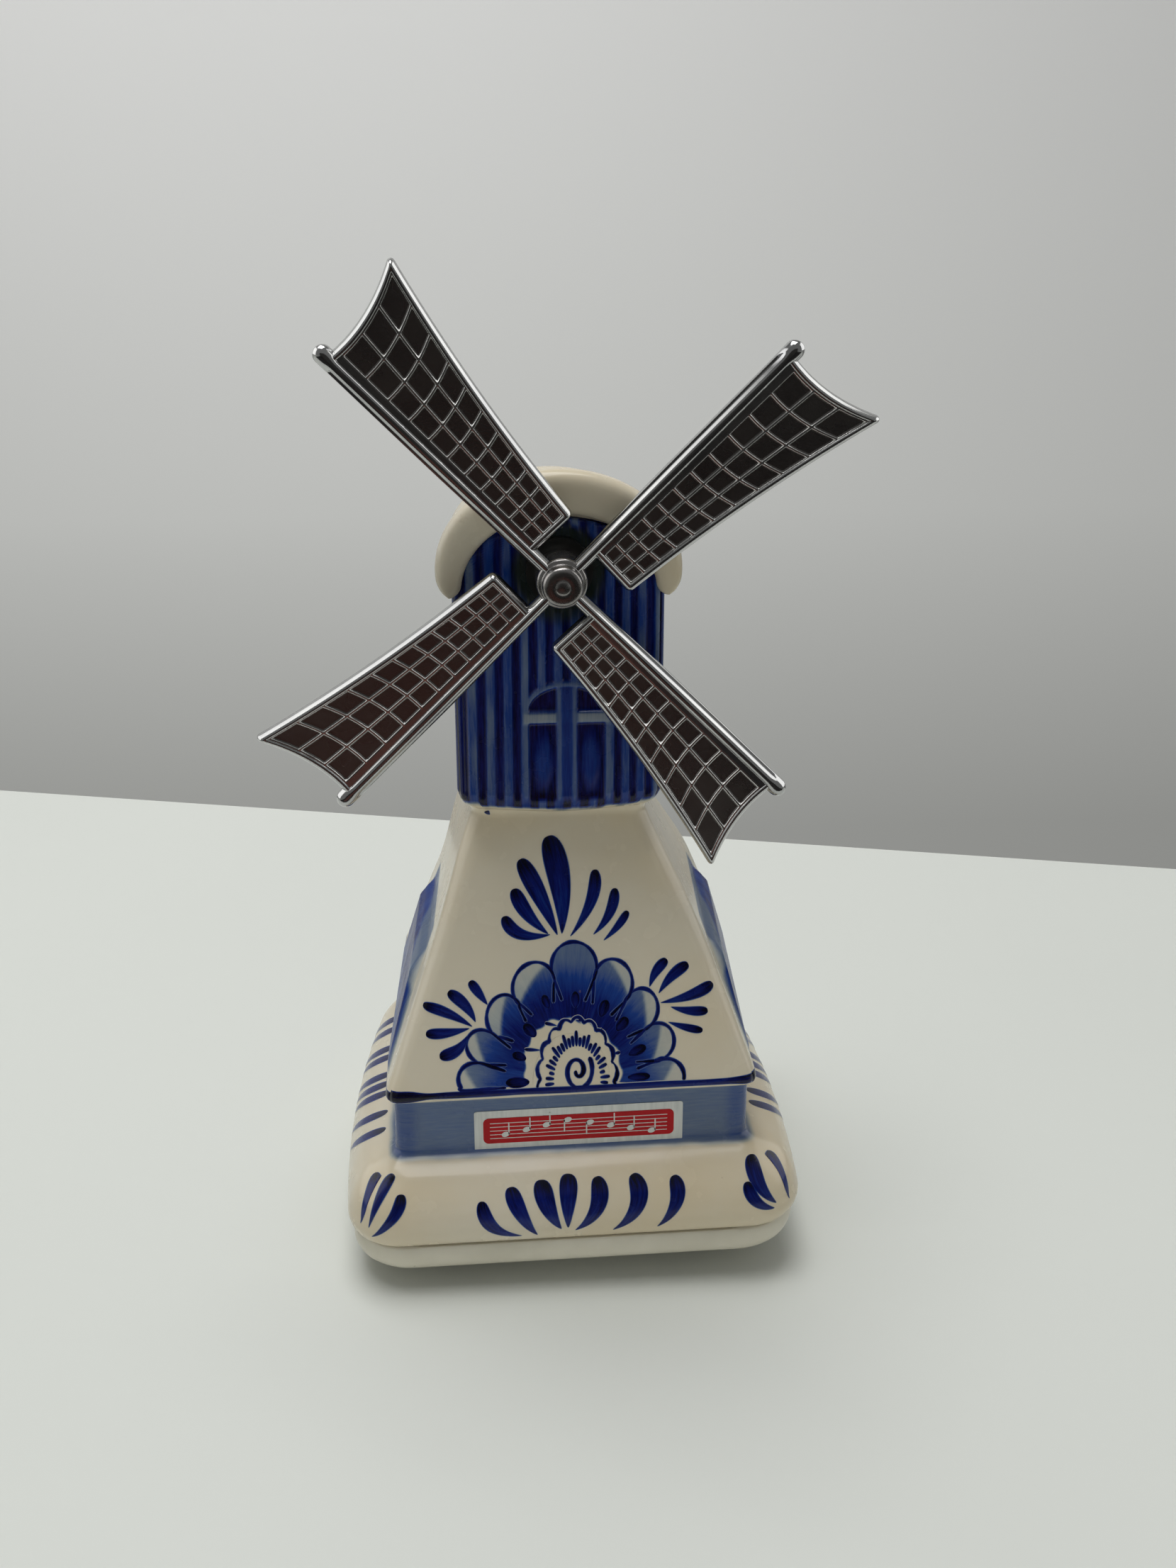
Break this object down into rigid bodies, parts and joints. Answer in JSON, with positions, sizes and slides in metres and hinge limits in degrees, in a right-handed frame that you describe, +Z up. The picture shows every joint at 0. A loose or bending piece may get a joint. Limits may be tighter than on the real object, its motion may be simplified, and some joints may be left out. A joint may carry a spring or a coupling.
{
  "type": "musical windmill figurine",
  "caption": "Glazed ceramic post-mill figurine with hand-painted blue decoration, turning metal sails and a wind-up musical movement inside its base.",
  "frame": {"origin": "centre of the square footprint, on the plane that the four feet rest on", "axes": "+Z up; the painted front and the sails face -Y; the sails turn about an axis along Y"},
  "size_m": [0.1014, 0.0814, 0.1791],
  "materials": {
    "glazed_ceramic": "glossy cream glaze with hand-painted cobalt blue",
    "foil": "satin silver foil with a red printed panel",
    "cover_plastic": "satin off-white moulded plastic",
    "foot_rubber": "matte black rubber",
    "steel": "bright drawn steel",
    "key_nickel": "bright nickel plate",
    "spring_steel": "blued spring steel",
    "movement_brass": "satin gilt brass",
    "gear_nylon": "natural nylon",
    "zinc_plate": "zinc-plated sheet",
    "black_plastic": "satin black plastic",
    "sail_chrome": "bright chrome plate, semi-matte in the recesses"
  },
  "bodies": {
    "mill": {"ceramic_body": "glazed_ceramic", "label": "foil", "bottom_cover": "cover_plastic", "rubber_feet": "foot_rubber", "cover_screws": "steel", "clutch_spring": "spring_steel", "movement_bed": "movement_brass", "cylinder_bearing": "movement_brass", "comb": "steel", "comb_screws": "steel", "governor_bracket": "zinc_plate", "governor_screw": "steel", "gear_bracket": "zinc_plate", "front_bushing": "black_plastic", "bushing_nut": "black_plastic"},
    "sails": {"sail_cross": "sail_chrome", "sail_shaft": "steel", "sail_pinion": "gear_nylon"},
    "barrel": {"spring_barrel": "steel", "mainspring": "spring_steel", "barrel_gear": "movement_brass", "shaft_coupling": "movement_brass", "drive_shaft": "steel", "drive_crown_gear": "gear_nylon"},
    "winder": {"winding_key": "key_nickel", "winding_arbor": "steel"},
    "cylinder": {"music_cylinder": "movement_brass", "cylinder_shaft": "steel", "cylinder_pinion": "steel", "cylinder_gear": "movement_brass"},
    "worm_wheel": {"governor_shaft": "steel", "governor_wheel": "gear_nylon"},
    "fan": {"governor_worm": "steel", "governor_fan": "movement_brass"}
  },
  "joints": [
    {"name": "sails_spin", "type": "hinge", "parent": "mill", "child": "sails", "pos_m": [0, -0.028, 0.1284], "axis": [0, 1, 0], "continuous": true},
    {"name": "barrel_spin", "type": "hinge", "parent": "mill", "child": "barrel", "pos_m": [0, 0.008, 0.02], "axis": [0, 0, 1], "continuous": true},
    {"name": "cylinder_spin", "type": "hinge", "parent": "mill", "child": "cylinder", "pos_m": [0, -0.013, 0.022], "axis": [0, 1, 0], "continuous": true},
    {"name": "worm_wheel_spin", "type": "hinge", "parent": "mill", "child": "worm_wheel", "pos_m": [-0.00802, -0.023, 0.02609], "axis": [0, 1, 0], "continuous": true},
    {"name": "fan_spin", "type": "hinge", "parent": "mill", "child": "fan", "pos_m": [-0.01402, -0.023, 0.02], "axis": [0, 0, 1], "continuous": true},
    {"name": "key_wind", "type": "hinge", "parent": "mill", "child": "winder", "pos_m": [0, 0.008, 0.004], "axis": [0, 0, 1], "range_deg": [0, 3240]}
  ],
  "couplings": [
    {"joint": "barrel_spin", "follows": "sails_spin", "ratio": -0.33333},
    {"joint": "cylinder_spin", "follows": "sails_spin", "ratio": -1.3333},
    {"joint": "worm_wheel_spin", "follows": "sails_spin", "ratio": 4.6667},
    {"joint": "fan_spin", "follows": "sails_spin", "ratio": -84}
  ]
}
